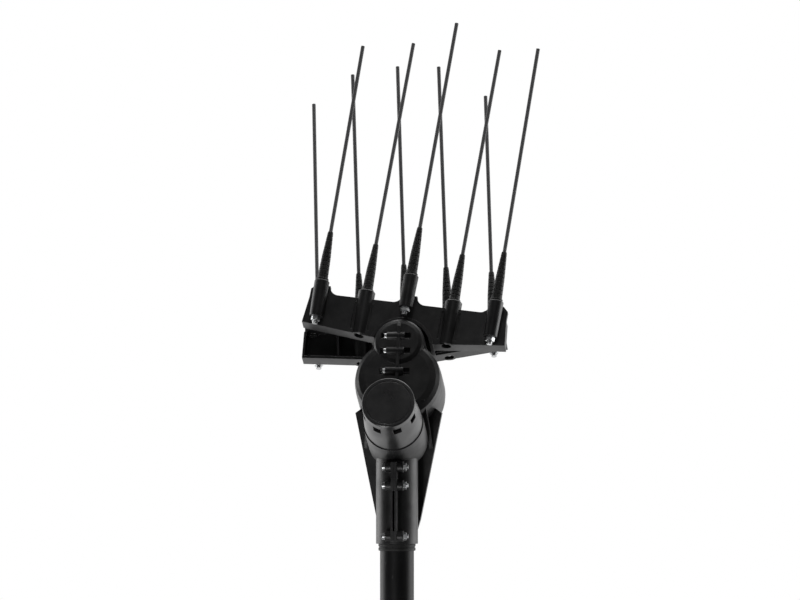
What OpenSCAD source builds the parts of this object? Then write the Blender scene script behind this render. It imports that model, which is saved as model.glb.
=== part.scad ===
// Electric olive harvester: two combs of rods rock against each other on a leaning head,
// driven by a motor, one gear pair and two opposed eccentrics, on a pole with a trigger handle.
// Sizes in millimetres. The pole runs along Z, the head faces -Y, and Z = 0 is the lower end
// of the head's pole socket.

/* [Pole] */
// Outside radius of the pole tube
pole_r = 17; // [16.5:0.1:17.5]
// Wall of the pole tube
pole_wall = 1.5; // [1.2:0.1:2]
// Distance from the pole's upper end to the socket's top
pole_stop = 22; // [20:1:28]
// Bare pole and sleeve from the head to the handle
pole_run = 520; // [460:10:700]
// Depth of the pole in the handle
pole_in_handle = 40; // [32:1:46]
// Thickness of the grip sleeve
sleeve_wall = 4; // [3:0.5:5]
// Length of the grip sleeve
sleeve_length = 160; // [120:5:180]
// Distance of the grip sleeve below the head
sleeve_drop = 190; // [170:5:220]
// Height of the rubber ring under the head
ring_height = 7; // [6:0.5:9]
// Wall of the rubber ring under the head
ring_wall = 1.6; // [1.2:0.1:2]

/* [Head] */
// Lean of the head away from the user
head_lean = 24; // [23:0.5:25]
// Height of the crank axis above the motor axis
crank_up = 55; // [54:0.5:56]
// Height of the comb pivot above the motor axis
pivot_up = 93; // [92:0.5:94]
// Outside radius of the gear case
case_r = 44; // [43.5:0.25:45]
// Outside radius of the two noses that hold the pivot
nose_r = 26; // [25:0.5:27]
// Wall of the housing
case_wall = 3; // [2.5:0.1:3.2]
// Outside radius of the pole socket
socket_r = 21; // [20.5:0.25:22]
// Height of the pole socket
socket_height = 88; // [84:1:90]
// Radius of the screws that close the housing
screw_r = 1.5; // [1.3:0.1:1.7]
// Radius of the clamp bolts
bolt_r = 2; // [1.8:0.1:2.2]

/* [Motor and drive] */
// Outside radius of the motor can
can_r = 26.5; // [26:0.1:27]
// Length of the motor can in front of the housing seam
can_out = 44; // [42:1:48]
// Height of the motor end cap
cap_height = 8; // [7:0.5:10]
// Radius of the motor shaft
motor_shaft_r = 4; // [3.5:0.25:4.25]
// Teeth on the motor pinion
pinion_teeth = 18; // [17:1:19]
// Teeth on the two gears together
teeth_sum = 55; // [55:1:56]
// Width of the gears
gear_width = 10; // [8:0.5:10]
// Radius of the crank shaft
crank_r = 5; // [4.5:0.1:5.2]
// Throw of the eccentrics
throw = 6.6; // [6.2:0.1:6.8]
// Turn of the crank from mid stroke
crank_turn = 44.4; // [40:0.2:46]
// Radius of the eccentrics
eccentric_r = 12; // [11.8:0.1:12.4]
// Outside radius of the rollers
roller_r = 16; // [15.6:0.1:16.2]
// Side play of a roller in its fork
fork_play = 2; // [2:0.1:2.3]

/* [Combs] */
// Width of a comb
comb_width = 208; // [204:0.2:212]
// Depth of a comb from front to back
comb_depth = 16; // [15:0.5:16]
// Height of the comb's top edge above the pivot
comb_top = 49; // [48:0.5:50]
// Height of the comb's lower corners above the pivot
comb_low_end = 16; // [15:0.5:18]
// Height of the comb's lower edge beside the arch
comb_low_in = 8; // [8:0.5:10]
// Wall of the combs
comb_wall = 2.6; // [2.4:0.1:3]
// Radius of the arch over the nose
arch_r = 29.5; // [29.3:0.1:30]
// Wall of the arch
arch_wall = 3.5; // [3:0.1:4]
// Turn of the near comb
near_turn = 7.3; // [6.8:0.1:7.6]
// Turn of the far comb
far_turn = -4.4; // [-5:0.1:-4]
// Distance from an outer rod to the comb's end
rod_end_in = 14.7; // [14.2:0.1:15.4]
// Radius of a rod
rod_r = 1.9; // [1.7:0.1:2]
// Length of a rod above its boot
rod_free = 226; // [180:2:240]
// Length of a boot
boot_length = 52; // [48:1:56]
// Radius of a boot at its collar
boot_r = 5.4; // [5:0.1:5.6]
// Radius of a boot at its top
boot_top_r = 2.9; // [2.8:0.1:3.2]
// Rings moulded round a boot
boot_rings = 11; // [8:1:12]
// Radius of the second and fourth rods' tubes in the comb's front
tube_r = 8.6; // [8.2:0.1:8.8]
// Radius of a rod boss
boss_r = 7.6; // [7.2:0.1:7.8]

/* [Handle] */
// Outside radius of the handle
handle_r = 21; // [20.5:0.25:22]
// Length of the handle
handle_length = 172; // [168:1:180]
// Wall of the handle
handle_wall = 3; // [2.6:0.1:3.2]
// Length of the trigger below its pin
trigger_length = 56; // [52:1:60]
// Width of the trigger
trigger_width = 14; // [12:0.5:15]
// Radius of the inlet at the handle's end
inlet_r = 9; // [8.5:0.25:9.5]

/* [Pieces] */
// Piece to draw

/* [Hidden] */
$fn = 64;

// overrun of every cut, and the fits
over = 1;
run_fit = 0.05;
seat_fit = 0.02;
face_play = 0.1;
hole_fit = 0.1;

// seam point of the head on the motor axis, in the pole's frame
seam_y = -32;
seam_rise = 33;
seam_z = socket_height + seam_rise;
pole_in_head = socket_height - pole_stop;

// depths in the head, measured back from the motor seam
case_front = 11;
web_front = 31;
web_back = 38;
gap_front = 43.5;
gap_back = 67.7;
rear_web_front = 72;
rear_web_back = 79;
case_back = 82;
nose_front = 9;
nose_back = 101;
mid_y = (gap_front + gap_back) / 2;
gear_room = 15;
plate_front = 9;
plate_back = 14;
cradle_back = 46;
chamber_r = case_r - case_wall;
gear_room_r = case_r - case_wall - over;
nose_bore_r = nose_r - case_wall;
cradle_wall = 3.5;
cradle_r = can_r + cradle_wall;

// profile of the gear case and of a nose: shares of the radius against shares of the depth
bulb_shares = [[0, 0], [0.74, 0], [0.88, 0.02], [0.965, 0.07], [0.99, 0.155], [1, 0.3],
  [1, 0.69], [0.98, 0.79], [0.92, 0.88], [0.81, 0.96], [0.68, 1], [0, 1]];
nose_shares = [[0, 0], [0.76, 0], [0.9, 0.055], [0.975, 0.146], [1, 0.29]];
bulb_profile = [for (p = bulb_shares) [p[0] * case_r, case_front + p[1] * (case_back - case_front)]];
nose_profile = concat([for (p = nose_shares) [p[0] * nose_r, nose_front + p[1] * nose_r]],
  [[nose_r, gap_front], [0, gap_front]]);

// screws of the housing as depth and height, and their sizes
nose_screw_up = 16;
rear_screw_in = 13;
web_screw_up = 21;
web_screw_down = 25;
foot_screw_in = 7;
foot_screw_down = 8;
case_screw_spots = [[(gear_room + web_front) / 2, pivot_up + nose_screw_up],
  [(web_front + web_back) / 2, crank_up + web_screw_up],
  [(web_front + web_back) / 2, crank_up - web_screw_down],
  [cradle_back - foot_screw_in, -foot_screw_down],
  [(rear_web_front + rear_web_back) / 2, crank_up + web_screw_up],
  [(rear_web_front + rear_web_back) / 2, crank_up - web_screw_down],
  [nose_back - rear_screw_in, pivot_up + nose_screw_up]];
front_screw_in = 1.6;
front_screw_up = [6, -10.3, -32];
front_screw_spots = [for (up = front_screw_up) [nose_front + front_screw_in, pivot_up + up]];
front_boss_r = 4.3;
front_sink = 6;
front_screw_end = 4.5;
front_boss_end = 1.5;
front_boss_right = front_screw_end + front_boss_end;
screw_reach = 12;
screw_head_r = 3;
screw_head = 2.5;
screw_sink_r = 3.5;
screw_boss_r = 4.6;
pilot_deep = 14;

// clamp of the pole socket: heights of the bolts, lips and lugs
lug_middle_shares = [0.091, 0.667, 0.876];
lug_tall = 10.4;
bolt_heights = [for (share = lug_middle_shares) share * socket_height];
lug_low = [for (z = bolt_heights) z - lug_tall / 2];
lug_high = [for (z = bolt_heights) z + lug_tall / 2];
bolt_out = 4.2;
lip_out = 10.5;
bolt_y = -socket_r - bolt_out;
lip_y = -socket_r - lip_out;
lip_half = 3;
lug_half = 9;
slit_half = 0.9;
slit_low = lug_high[0];
slit_high = lug_low[1];
bolt_head_r = 3.5;
bolt_head = 3;
bolt_nut_r = 4;
bolt_nut = 3.2;
bolt_tail = 2;

// side gussets between the socket and the case, as half width and height
wing_width_shares = [0.39, 0.5, 0.99, 0.75];
wing_height_shares = [0.09, 0.27, 1.48, 1.57];
wing_points = concat([for (k = [0:3])
    [wing_width_shares[k] * case_r, wing_height_shares[k] * socket_height]],
  [[0, wing_height_shares[3] * socket_height], [0, wing_height_shares[0] * socket_height]]);
wing_y = 14;
wing_deep = 8;

// struts from the gear case down to the gussets, beside the motor
strut_x = 31;
strut_wide = 3.6;
strut_lean = 7;
strut_drop = 26;
strut_tall = 49;
strut_deep = 9;
strut_low_y = 12;
strut_top_y = -9.5;
strut_points = [[strut_low_y, 0], [strut_low_y + strut_deep, 0], [strut_top_y + strut_deep, strut_tall],
  [strut_top_y, strut_tall]];

// raised seam ridge down the front of the nose and case
ridge_half = 1.6;
ridge_out = 2.2;
ridge_up = 21;
ridge_down = 27;
ridge_foot = 26;
ridge_points = [[nose_front - ridge_out, pivot_up - ridge_down],
  [nose_front - ridge_out, pivot_up + nose_screw_up],
  [nose_front, pivot_up + ridge_up], [gear_room - over, pivot_up + ridge_up],
  [gear_room - over, pivot_up - ridge_down - ridge_foot], [nose_front, pivot_up - ridge_down - ridge_foot]];

// wiring between the pole and the motor
wire_r = 1.3;
wire_x = 6;
wire_up = -24;
block_half = 11;
block_high = 16;
block_deep = 10;
lead_r = 3.4;

// motor pieces
can_wall = 2;
skirt_out = 2.6;
skirt_r = can_r + skirt_out;
can_back = plate_front;
vent_count = 8;
vent_width = 8.5;
vent_length = 9;
vent_from_cap = 1;
vent_phase = 25.5;
magnet_wall = 3;
magnet_front = -34;
magnet_back = 2;
magnet_sweep = 120;
air_gap = 0.8;
core_r = can_r - can_wall - magnet_wall - air_gap;
core_front = -32;
core_back = 0;
core_slots = 10;
core_slot_r = 1.9;
winding_in_r = 8;
winding_out_r = 18;
winding_long = 6;
comm_r = 9;
comm_front = -43.5;
comm_back = core_front - winding_long;
brush_gap = 0.3;
brush_long = 9;
brush_half = 2;
ring_in_r = 12.5;
bearing_wall = 5;
motor_bearing = 5;
shaft_front = -50.5;
shaft_back = 29;

// gear pair: involute teeth on the shared centre distance
gear_teeth = teeth_sum - pinion_teeth;
tooth_module = 2 * crank_up / teeth_sum;
pinion_pitch_r = tooth_module * pinion_teeth / 2;
gear_pitch_r = tooth_module * gear_teeth / 2;
pressure = 20;
backlash = 0.25;
gear_front = 18;
gear_back = gear_front + gear_width;
flank_steps = 4;
root_share = 1.25;
web_hole_share = 0.62;
web_hole_r = 6;
web_holes = 6;

// crank and pivot
crank_front = 16.5;
crank_end = 0.5;
crank_back = rear_web_back - crank_end;
crank_bearing_r = 11;
hub_long = 9;
washer_side = 2;
near_hub_front = gap_front + washer_side;
near_hub_back = near_hub_front + hub_long;
far_hub_back = gap_back - washer_side;
far_hub_front = far_hub_back - hub_long;
pivot_r = 6;
pivot_front = 33;
pivot_back = 78;
pivot_boss_r = 14;
washer_r = 12;

// comb sizes, depths measured from the middle between the combs
comb_set_back = 17.5;
comb_front = gap_front - comb_set_back - mid_y;
comb_back = comb_front + comb_depth;
rod_pitch = (comb_width / 2 - rod_end_in) / 2;
hub_front = near_hub_front - mid_y;
hub_back = near_hub_back - mid_y;
hub_r = 11;
fork_half = roller_r + fork_play;
tine = 6;
fork_low = -50;
fork_top = -14.2;
collar_rise = 9.5;
centre_rise = 25;
boss_long = 38.2;
centre_boss_long = 35;
outer_rod_out = 10.8;
even_rod_in = 3.9;
centre_rod_out = 14.6;
collar_rises = [collar_rise, collar_rise, centre_rise, collar_rise, collar_rise];
collar_up = [for (rise = collar_rises) comb_top + rise];
boss_low = collar_up - [boss_long, boss_long, centre_boss_long, boss_long, boss_long];
rod_y_mid = [for (out = [outer_rod_out, -even_rod_in, centre_rod_out, -even_rod_in, outer_rod_out])
  comb_front - out];
splay = [5.5, 1, 2.3, 1, 5.5];
near_trim_shares = [0.107, 0, -0.005, -0.014, 0.0265];
far_trim_shares = [0.046, -0.007, -0.018, -0.015, 0.07];
near_trim = near_trim_shares * rod_free;
far_trim = far_trim_shares * rod_free;
odd_rods = [0, 2, 4];
even_rods = [1, 3];
all_rods = [0, 1, 2, 3, 4];
brow_r = 9;
comb_corner = 5;
end_draft = 3;
top_half = comb_width / 2 - end_draft;
rim_out = 1.2;
boss_taper = 0.8;
boss_bevel = 1.2;
web_half = 3.6;
tube_half = sqrt(pow(tube_r, 2) - pow(even_rod_in, 2));
groove_wide = 2;
groove_deep = 1.2;
groove_up = 15;
groove_drop = 4;
pocket_rib = 2;
pocket_rib_x = [0.5 * rod_pitch, 1.5 * rod_pitch];
stud_r = 2.6;
stud_tail = 8;
rod_nut_r = 4.7;
rod_nut = 4.5;
access_r = 5;
access_long = 13;
boot_base = 2.2;
boot_step = 0.9;
boot_bead = 0.55;

// handle: heights from the handle's top, depths from the pole axis
handle_top = -pole_run;
handle_low = handle_top - handle_length;
pole_low = handle_top - pole_in_handle;
handle_bore_r = handle_r - handle_wall;
handle_shares = [[0.86, 0], [0.97, 0.025], [1, 0.06], [1, 0.2], [0.96, 0.4], [0.96, 0.68], [1.02, 0.86],
  [1.02, 0.96], [0.97, 0.985], [0.86, 1]];
handle_wall_stop = 4;
handle_floor = 5;
handle_screw_in = 7.6;
handle_screw_drop = 9;
handle_screw_lift = 8;
handle_screw_mid = 62;
handle_screw_y = handle_r - handle_screw_in;
handle_screw_spots = [[handle_screw_y, pole_low - handle_screw_drop],
  [-handle_screw_y, handle_low + handle_screw_lift], [handle_screw_y, handle_low + handle_screw_lift],
  [handle_screw_y, handle_low + handle_screw_mid]];
handle_boss_r = 4;
handle_screw_reach = 9;
pin_r = 1.5;
pin_in = 8.5;
pin_drop = 14;
pin_y = pin_in - handle_r;
pin_z = pole_low - pin_drop;
trigger_low = pin_z - trigger_length;
trigger_shares = [[-0.79, 0.09], [-0.45, 0.09], [-0.43, -0.07], [-0.55, -0.18], [-0.665, -1],
  [-0.93, -1.035], [-1.21, -0.965], [-1.285, -0.84], [-1.165, -0.61], [-1.095, -0.39], [-0.905, -0.21],
  [-0.81, -0.07]];
trigger_points = [for (p = trigger_shares) [p[0] * handle_r, p[1] * trigger_length]];
trigger_side_play = 0.5;
trigger_slot_top = 8;
trigger_slot_low = 5;
pin_out = 14.8;
switch_half = 7;
switch_deep = 14;
switch_tall = 42;
switch_y = -5;
switch_drop = 33;
switch_z = pin_z - switch_drop;
button_r = 2;
spring_r = 3;
spring_wire = 0.45;
spring_turns = 4;
spring_steps = 16;
spring_sides = 6;
spring_drop = 20;
spring_z = pin_z - spring_drop;
inlet_deep = 14;
inlet_rim = 3;
inlet_flange_r = inlet_r + inlet_rim;
inlet_flange = 2;
inlet_step = 1;
inlet_spigot_r = inlet_r - inlet_step;
inlet_spigot = 12;
inlet_shroud = 2;
inlet_well_r = inlet_spigot_r - inlet_shroud;
inlet_well = 11;
inlet_pin_r = 0.9;
inlet_pin_x = 3.6;
inlet_pin_out = 8;

// small details of the motor, drive, combs and sleeve
screw_key = 1.4;
bolt_key = 1.8;
pinion_room = 1.5;
neck_wide = 5;
neck_low = 17;
gap_low = 21;
nose_post_end = 4;
cap_edge = 0.8;
cap_spigot = 4;
cap_floor = 1.5;
cap_groove_in = 3.2;
cap_groove = 1;
cap_boss = 2;
brush_ring_long = 7;
brush_lift = 1;
winding_round = 2;
pinion_phase = -90;
gear_phase = 90 + 180 / gear_teeth;
shoulder = 1.5;
brow_deep = 6;
web_drop = 3;
rod_inset = 2;
boot_tip = 3;
boot_ring_shares = [[1, 0.05], [1, 0.6], [0, 0.72], [0, 0.93]];
ring_shares = [[0.8, 1], [1, 0.9], [1, 0.62], [0.55, 0.56], [0.55, 0.44], [1, 0.38], [1, 0.1], [0.8, 0]];
sleeve_bands = 12;
sleeve_end_share = 0.06;
band_shares = [[1, 0.15], [0.82, 0.4], [0.82, 0.6], [1, 0.85]];
sleeve_shares = concat([[0.55, 0], [1, 0.02]],
  [for (k = [1:sleeve_bands]) for (p = band_shares)
    [p[0], sleeve_end_share + (1 - 2 * sleeve_end_share) * (k - 1 + p[1]) / sleeve_bands]],
  [[1, 0.98], [0.55, 1]]);
wire_back = 43;
rib_half = 4;
slot_back = -7;
trigger_grooves = 4;
groove_r = 0.9;
groove_y = -26.2;
groove_low = 6;
groove_pitch = 6;
spring_long = 6.9;
button_drop = 42;
button_z = pin_z - button_drop;
button_out = 8.1;
button_in = 3;
button_bore = 8;

function rod_x(i) = (i - 2) * rod_pitch;
function polar(r, a) = [r * cos(a), r * sin(a)];
function hexagon(r) = [for (k = [0:5]) polar(r, k * 60)];

// places of the head, the pivot, a crank throw and a rod
module in_head() {
  translate([0, seam_y, seam_z]) rotate([-head_lean, 0, 0]) children();
}
module at_pivot(turn) {
  in_head() translate([0, mid_y, pivot_up]) rotate([0, turn, 0]) children();
}
module near_side() {
  at_pivot(near_turn) children();
}
module far_side() {
  at_pivot(far_turn) rotate([0, 0, 180]) children();
}
module at_rod(i) {
  translate([rod_x(i), rod_y_mid[i], collar_up[i]]) rotate([splay[i], 0, 0]) children();
}
// plate drawn as x and height, from one depth to another
module slab(from, to) {
  translate([0, to, 0]) rotate([90, 0, 0]) linear_extrude(to - from) children();
}
// round bar along the depth
module bar_y(r, from, to, up = 0) {
  translate([0, from, up]) rotate([-90, 0, 0]) cylinder(r = r, h = to - from);
}
// round bar across
module bar_x(r, from, to, y, z) {
  translate([from, y, z]) rotate([0, 90, 0]) cylinder(r = r, h = to - from);
}
module ring_y(r, bore, from, to, up = 0) {
  translate([0, from, up]) rotate([-90, 0, 0]) linear_extrude(to - from) difference() {
    circle(r);
    circle(bore);
  }
}
// turned form about the depth axis
module turned_y(up) {
  translate([0, 0, up]) rotate([-90, 0, 0]) rotate_extrude() children();
}
module box(from, to) {
  translate(from) cube(to - from);
}

// outside of the closed housing
module case_outside() {
  in_head() {
    turned_y(crank_up) polygon(bulb_profile);
    turned_y(pivot_up) polygon(nose_profile);
    translate([0, 2 * mid_y, 0]) mirror([0, 1, 0]) turned_y(pivot_up) polygon(nose_profile);
    slab(gear_room, gap_front) polygon([[-nose_r, pivot_up], [nose_r, pivot_up],
      [nose_r + neck_wide, pivot_up - neck_low], [-nose_r - neck_wide, pivot_up - neck_low]]);
    bar_y(cradle_r, 0, cradle_back);
    for (p = front_screw_spots) bar_x(front_boss_r, -screw_reach, front_boss_right, p[0], p[1]);
    rotate([90, 0, 90]) translate([0, 0, -ridge_half]) linear_extrude(2 * ridge_half) polygon(ridge_points);
  }
  cylinder(r = socket_r, h = socket_height);
  box([-lip_half, lip_y, lug_low[0]], [lip_half, 0, lug_high[2]]);
  for (k = [0:2]) {
    bar_x(lug_tall / 2, -lug_half, lug_half, bolt_y, bolt_heights[k]);
    box([-lug_half, bolt_y, lug_low[k]], [lug_half, 0, lug_high[k]]);
  }
  for (side = [0, 1]) mirror([side, 0, 0]) translate([0, wing_y + wing_deep, 0]) rotate([90, 0, 0])
    linear_extrude(wing_deep) polygon(wing_points);
  for (side = [0, 1]) mirror([side, 0, 0]) translate([strut_x, 0, seam_z - strut_drop])
    rotate([0, -strut_lean, 0]) rotate([90, 0, 90]) linear_extrude(strut_wide) polygon(strut_points);
}

// rooms inside the housing
module case_rooms() {
  in_head() {
    bar_y(can_r + seat_fit, -over, plate_back);
    bar_y(pinion_pitch_r + tooth_module + pinion_room, plate_back - over, web_front);
    bar_y(gear_room_r, gear_room, web_front, crank_up);
    bar_y(nose_bore_r, gear_room, web_front, pivot_up);
    difference() {
      bar_y(chamber_r, web_back, rear_web_front, crank_up);
      bar_y(pivot_boss_r, web_back - over, gap_front, pivot_up);
      bar_y(pivot_boss_r, gap_back, rear_web_front + over, pivot_up);
    }
    box([-2 * case_r, gap_front, pivot_up - gap_low], [2 * case_r, gap_back, pivot_up + 2 * nose_r]);
    bar_y(nose_bore_r, rear_web_back, 2 * mid_y - gear_room, pivot_up);
    bar_y(crank_bearing_r, web_front - over, web_back + over, crank_up);
    bar_y(crank_bearing_r, rear_web_front - over, rear_web_back, crank_up);
    bar_y(pivot_r, pivot_front, pivot_back, pivot_up);
    for (x = [-wire_x, wire_x]) translate([x, 0, 0])
      bar_y(wire_r + hole_fit, plate_back - over, wire_back + over, wire_up);
  }
  translate([0, 0, -over]) cylinder(r = pole_r + seat_fit, h = pole_in_head + over);
  box([-block_half, -block_deep, pole_in_head - over],
    [block_half, block_deep, pole_in_head + block_high]);
  box([-slit_half, lip_y - over, slit_low], [slit_half, 0, slit_high]);
}
module screw_posts() {
  in_head() intersection() {
    union() {
      bar_y(nose_r - over, gear_room - over, web_front + over, pivot_up);
      bar_y(nose_r - over, rear_web_back - over, nose_back - nose_post_end, pivot_up);
    }
    for (p = [case_screw_spots[0], case_screw_spots[6]]) bar_x(screw_boss_r, -nose_r, nose_r, p[0], p[1]);
  }
}
module case_closed() {
  difference() {
    union() {
      difference() {
        case_outside();
        case_rooms();
      }
      screw_posts();
    }
    for (p = case_screw_spots) in_head() {
      bar_x(screw_sink_r, -2 * case_r, -screw_reach, p[0], p[1]);
      bar_x(screw_r + hole_fit, -screw_reach - over, 0, p[0], p[1]);
      bar_x(screw_r + seat_fit, 0, pilot_deep, p[0], p[1]);
    }
    for (p = front_screw_spots) in_head() {
      bar_x(screw_sink_r, -screw_reach - front_sink, -screw_reach, p[0], p[1]);
      bar_x(screw_sink_r, front_boss_right, front_boss_right + front_sink, p[0], p[1]);
      bar_x(screw_r + hole_fit, -screw_reach - over, 0, p[0], p[1]);
      bar_x(screw_r + seat_fit, 0, front_screw_end, p[0], p[1]);
    }
    for (z = bolt_heights) {
      bar_x(bolt_r + hole_fit, -2 * lug_half, 2 * lug_half, bolt_y, z);
    }
  }
}
module left_shell() {
  color("#232323") intersection() {
    case_closed();
    translate([-2 * case_r, -4 * case_r, -case_r]) cube([2 * case_r, 8 * case_r, 8 * case_r]);
  }
}
module right_shell() {
  color("#262626") intersection() {
    case_closed();
    translate([0, -4 * case_r, -case_r]) cube([2 * case_r, 8 * case_r, 8 * case_r]);
  }
}
module case_screw(spot, end) {
  difference() {
    union() {
      bar_x(screw_head_r, -screw_reach - screw_head, -screw_reach, spot[0], spot[1]);
      bar_x(screw_r, -screw_reach - over, end, spot[0], spot[1]);
    }
    translate([-screw_reach - screw_head - over, spot[0], spot[1]]) rotate([0, 90, 0])
      linear_extrude(screw_key + over) polygon(hexagon(screw_r));
  }
}
module case_screws() {
  color("#b8b8b8") in_head() {
    for (p = case_screw_spots) case_screw(p, screw_reach);
    for (p = front_screw_spots) case_screw(p, front_screw_end);
  }
}
module clamp_bolts() {
  color("#c0c0c0") for (z = bolt_heights) difference() {
    union() {
      bar_x(bolt_head_r, -lug_half - bolt_head, -lug_half, bolt_y, z);
      bar_x(bolt_r, -lug_half - over, lug_half + bolt_nut + bolt_tail, bolt_y, z);
    }
    translate([-lug_half - bolt_head - over, bolt_y, z]) rotate([0, 90, 0])
      linear_extrude(bolt_key + over) polygon(hexagon(bolt_r));
  }
}
module clamp_nuts() {
  color("#bdbdbd") for (z = bolt_heights) translate([lug_half, bolt_y, z]) rotate([0, 90, 0])
    linear_extrude(bolt_nut) difference() {
      polygon(hexagon(bolt_nut_r));
      circle(bolt_r + seat_fit);
    }
}

// motor
module motor_can() {
  color("#1d1d1d") in_head() difference() {
    turned_y(0) polygon([[can_r - can_wall, -can_out], [can_r, -can_out], [skirt_r, -face_play],
      [can_r, -face_play], [can_r, can_back], [can_r - can_wall, can_back]]);
    for (k = [0:vent_count - 1]) rotate([0, vent_phase + k * 360 / vent_count, 0])
      box([-vent_width / 2, -can_out + vent_from_cap, can_r - 2 * can_wall],
        [vent_width / 2, -can_out + vent_from_cap + vent_length, can_r + over]);
  }
}
module motor_end_cap() {
  color("#202020") in_head() difference() {
    turned_y(0) polygon([[0, -can_out - cap_height], [can_r - cap_edge, -can_out - cap_height],
      [can_r, -can_out - cap_height + cap_edge], [can_r, -can_out], [can_r - can_wall, -can_out],
      [can_r - can_wall, -can_out + cap_spigot], [can_r - 2 * can_wall, -can_out + cap_spigot],
      [can_r - 2 * can_wall, -can_out - cap_height + cap_floor],
      [0, -can_out - cap_height + cap_floor]]);
    ring_y(can_r - cap_groove_in, can_r - cap_groove_in - cap_groove, -can_out - cap_height - over,
      -can_out - cap_height + cap_groove / 2);
  }
  color("#202020") in_head() ring_y(motor_shaft_r + bearing_wall + cap_boss, motor_shaft_r + bearing_wall,
    -can_out - cap_height + cap_floor - over, shaft_front + motor_bearing);
}
module motor_front_plate() {
  color("#8d8f92") in_head() difference() {
    bar_y(can_r, plate_front, plate_back);
    bar_y(motor_shaft_r + bearing_wall, plate_front - over, plate_back + over);
    for (x = [-wire_x, wire_x]) translate([x, 0, 0])
      bar_y(wire_r, plate_front - over, plate_back + over, wire_up);
  }
}
module motor_magnets() {
  color("#4a4a4e") in_head() for (a = [0, 180]) rotate([0, a + 90 - magnet_sweep / 2, 0])
    translate([0, magnet_front, 0]) rotate([-90, 0, 0]) rotate_extrude(angle = magnet_sweep)
      translate([can_r - can_wall - magnet_wall, 0]) square([magnet_wall, magnet_back - magnet_front]);
}
module motor_bearings() {
  color("#b4b6b8") in_head() {
    ring_y(motor_shaft_r + bearing_wall, motor_shaft_r + run_fit, shaft_front, shaft_front + motor_bearing);
    ring_y(motor_shaft_r + bearing_wall, motor_shaft_r + run_fit, plate_front, plate_back);
  }
}
module brush_ring() {
  color("#5a4632") in_head() difference() {
    ring_y(can_r - 2 * can_wall, ring_in_r, -can_out + cap_spigot - brush_ring_long, -can_out + cap_spigot);
    box([-can_r, comm_front + brush_lift, -brush_half],
      [can_r, comm_front + brush_lift + 2 * brush_half, brush_half]);
  }
}
module carbon_brushes() {
  color("#2b2b2d") in_head() for (side = [0, 1]) mirror([side, 0, 0])
    box([comm_r + brush_gap, comm_front + brush_lift, -brush_half],
      [comm_r + brush_gap + brush_long, comm_front + brush_lift + 2 * brush_half, brush_half]);
}
module rotor_shaft() {
  color("#a9abad") in_head() bar_y(motor_shaft_r, shaft_front, shaft_back);
}
module armature_core() {
  color("#6f7276") in_head() translate([0, core_front, 0]) rotate([-90, 0, 0])
    linear_extrude(core_back - core_front) difference() {
      circle(core_r);
      circle(motor_shaft_r);
      for (k = [0:core_slots - 1]) translate(polar(core_r - core_slot_r / 2, k * 360 / core_slots))
        circle(core_slot_r);
    }
}
module armature_windings() {
  color("#a5622a") in_head() for (y = [core_front - winding_long, core_back])
    translate([0, y, 0]) rotate([-90, 0, 0]) rotate_extrude() polygon([[winding_in_r, 0],
      [winding_in_r, winding_long], [winding_out_r - winding_round, winding_long],
      [winding_out_r, winding_long - winding_round], [winding_out_r, winding_round],
      [winding_out_r - winding_round, 0]]);
}
module commutator() {
  color("#b5763c") in_head() translate([0, comm_front, 0]) rotate([-90, 0, 0])
    linear_extrude(comm_back - comm_front) difference() {
      circle(comm_r);
      circle(motor_shaft_r);
    }
}

// involute gear outline: flank points from the base circle to the tip
function involute(base, r) = let(t = sqrt(pow(r / base, 2) - 1)) t * 180 / PI - atan(t);
function flank(teeth, r) = let(pitch_r = tooth_module * teeth / 2, base = pitch_r * cos(pressure),
  half = 90 / teeth - backlash / 2 / pitch_r * 180 / PI)
  half + involute(base, pitch_r) - involute(base, max(r, base));
function tooth(teeth) = let(pitch_r = tooth_module * teeth / 2, base = pitch_r * cos(pressure),
  root = pitch_r - root_share * tooth_module, tip = pitch_r + tooth_module,
  rs = concat([root], [for (k = [0:flank_steps])
    max(base, root) + (tip - max(base, root)) * k / flank_steps]))
  concat([for (r = rs) [r, -flank(teeth, r)]], [for (k = [len(rs) - 1:-1:0]) [rs[k], flank(teeth, rs[k])]]);
module gear_2d(teeth) {
  polygon([for (n = [0:teeth - 1]) for (p = tooth(teeth)) polar(p[0], p[1] + n * 360 / teeth)]);
}
module pinion() {
  color("#9b9da0") in_head() translate([0, gear_front, 0]) rotate([-90, 0, 0])
    linear_extrude(gear_width) difference() {
      rotate(pinion_phase) gear_2d(pinion_teeth);
      circle(motor_shaft_r);
    }
}
module drive_gear() {
  color("#d8d2c0") in_head() translate([0, gear_front, crank_up]) rotate([-90, 0, 0])
    linear_extrude(gear_width) difference() {
      rotate(gear_phase) gear_2d(gear_teeth);
      circle(crank_r);
      for (k = [0:web_holes - 1])
        translate(polar(gear_pitch_r * web_hole_share, k * 360 / web_holes)) circle(web_hole_r);
    }
}
// a throw of the crank: near side to the side the near fork swings to, far side opposite
module at_throw(side) {
  in_head() translate([-side * throw * sin(crank_turn), 0, crank_up + side * throw * cos(crank_turn)])
    children();
}
module crank_shaft() {
  color("#a3a5a8") {
    in_head() bar_y(crank_r, crank_front, crank_back, crank_up);
    at_throw(1) bar_y(eccentric_r, near_hub_front, near_hub_back);
    at_throw(-1) bar_y(eccentric_r, far_hub_front, far_hub_back);
    in_head() bar_y(crank_r + shoulder, gear_back, gear_back + shoulder, crank_up);
  }
}
module crank_bearings() {
  color("#b4b6b8") in_head() {
    ring_y(crank_bearing_r, crank_r + run_fit, web_front, web_back, crank_up);
    ring_y(crank_bearing_r, crank_r + run_fit, rear_web_front, rear_web_back, crank_up);
  }
}
module near_roller() {
  color("#bcbec0") at_throw(1) ring_y(roller_r, eccentric_r + run_fit, near_hub_front + face_play,
    near_hub_back - face_play);
}
module far_roller() {
  color("#bcbec0") at_throw(-1) ring_y(roller_r, eccentric_r + run_fit, far_hub_front + face_play,
    far_hub_back - face_play);
}
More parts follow.
